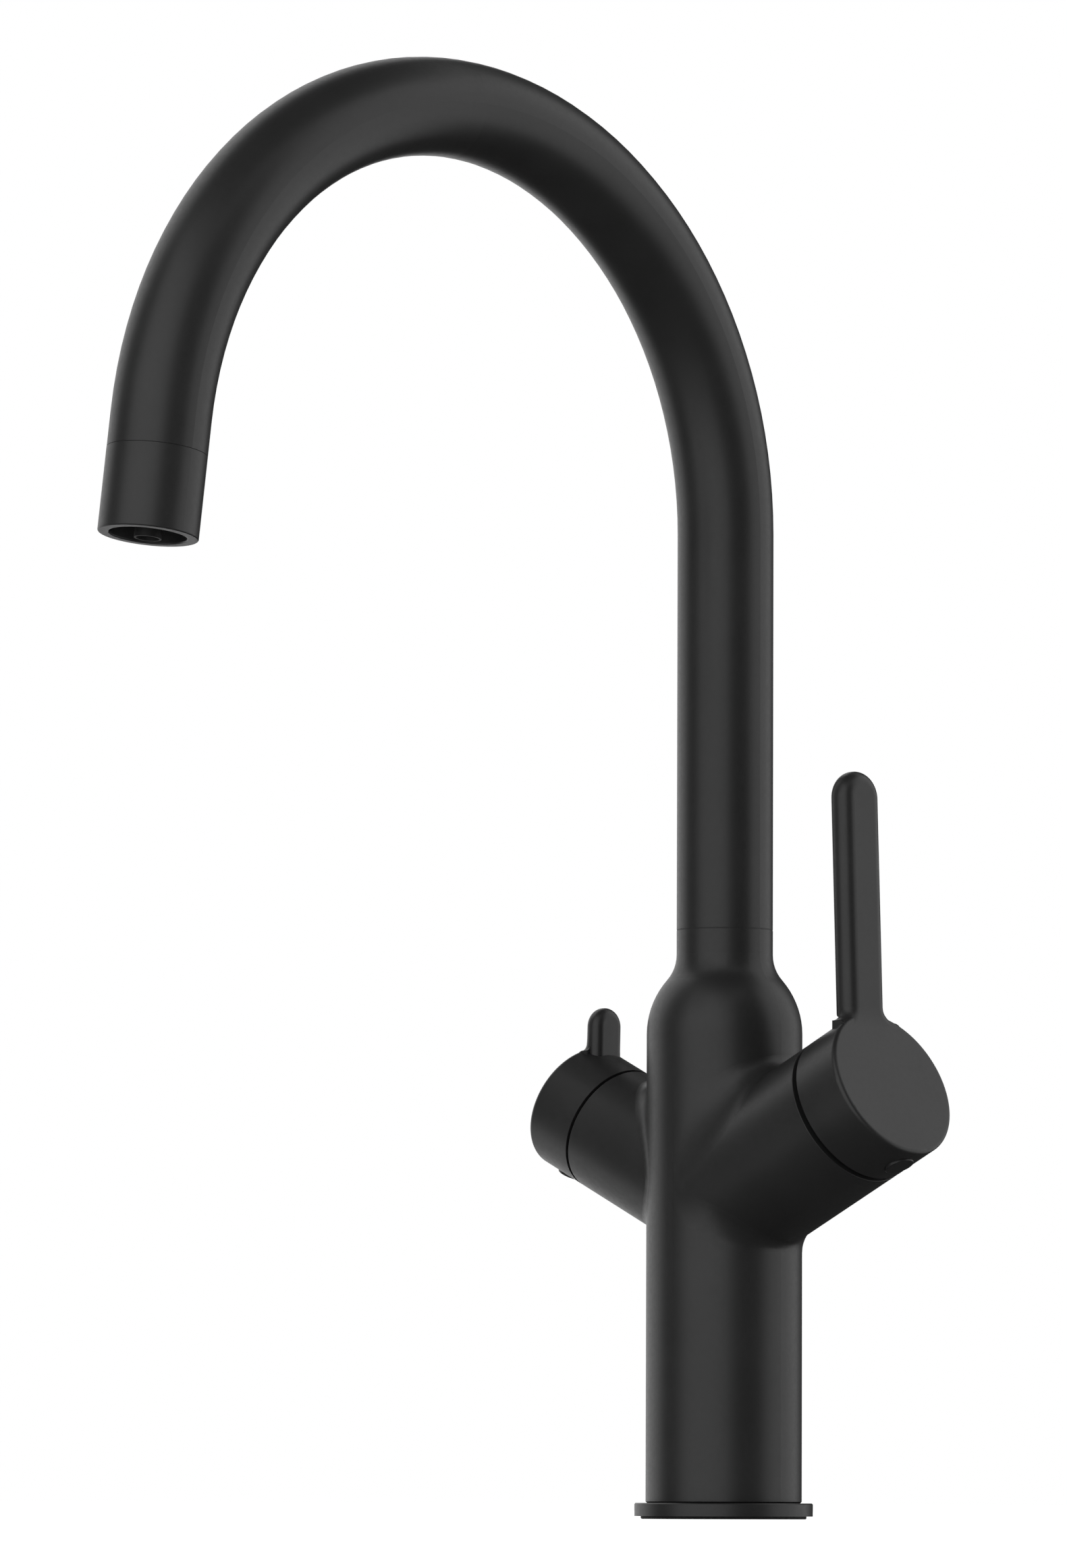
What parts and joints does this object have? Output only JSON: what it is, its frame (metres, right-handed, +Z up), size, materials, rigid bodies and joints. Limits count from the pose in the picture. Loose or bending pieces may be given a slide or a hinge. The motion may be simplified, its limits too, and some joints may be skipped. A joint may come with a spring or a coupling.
{
  "type": "three-way kitchen tap",
  "caption": "Matte black kitchen tap with a swan-neck swivel spout, a mixer lever on one side and a small filtered water lever on the other.",
  "frame": {"origin": "middle of the foot, on the worktop", "axes": "+Z up along the column and the spout's swivel axis, -Y to the front, where the spout reaches over the sink, +X to the mixer handle, -X to the filtered water handle"},
  "size_m": [0.1326, 0.2505, 0.3839],
  "materials": {
    "matte_black": "matte black coating, finely textured",
    "dark_trim": "dark matte plastic",
    "black_rubber": "plain black rubber",
    "brass": "machined",
    "white_plastic": "moulded",
    "disc_ceramic": "lapped",
    "steel": "plain steel",
    "tube_plastic": "drawn tube"
  },
  "bodies": {
    "body": {"tap_body": "matte_black", "base_flange": "matte_black", "base_seal": "black_rubber", "mixer_cartridge_base": "white_plastic", "mixer_port_seals": "black_rubber", "mixer_cartridge_housing": "white_plastic", "mixer_fixed_disc": "disc_ceramic", "mixer_cartridge_nut": "brass", "mixer_gap_ring": "dark_trim", "filter_seat_seal": "black_rubber", "filter_valve_housing": "brass", "filter_fixed_disc": "disc_ceramic", "filter_gap_ring": "dark_trim", "spout_glide_ring": "dark_trim", "spout_retaining_screw": "steel", "filtered_tube_o_ring": "black_rubber"},
    "mixer_lever": {"mixer_handle": "matte_black", "mixer_spindle": "brass", "mixer_moving_disc": "disc_ceramic", "mixer_spindle_o_ring": "black_rubber", "mixer_grub_screw": "steel", "mixer_screw_plug": "matte_black"},
    "filter_lever": {"filter_handle": "matte_black", "filter_spindle": "brass", "filter_moving_disc": "disc_ceramic", "filter_spindle_o_ring": "black_rubber", "filter_grub_screw": "steel", "filter_screw_plug": "matte_black"},
    "spout": {"spout_tube": "matte_black", "spout_spigot": "brass", "spout_o_rings": "black_rubber", "filtered_water_tube": "tube_plastic", "outlet_sleeve": "matte_black", "outlet_o_ring": "black_rubber", "stream_former": "dark_trim", "filtered_water_nozzle": "dark_trim"}
  },
  "joints": [
    {"name": "spout_swivel", "type": "hinge", "parent": "body", "child": "spout", "pos_m": [0, 0, 0], "axis": [0, 0, 1], "range_deg": [-75, 75]},
    {"name": "mixer_turn", "type": "hinge", "parent": "body", "child": "mixer_lever", "pos_m": [0, 0, 0.0865], "axis": [0.9041, 0, 0.4274], "range_deg": [0, 100]},
    {"name": "filter_turn", "type": "hinge", "parent": "body", "child": "filter_lever", "pos_m": [0, 0, 0.0865], "axis": [0.9041, 0, -0.4274], "range_deg": [0, 90]}
  ]
}
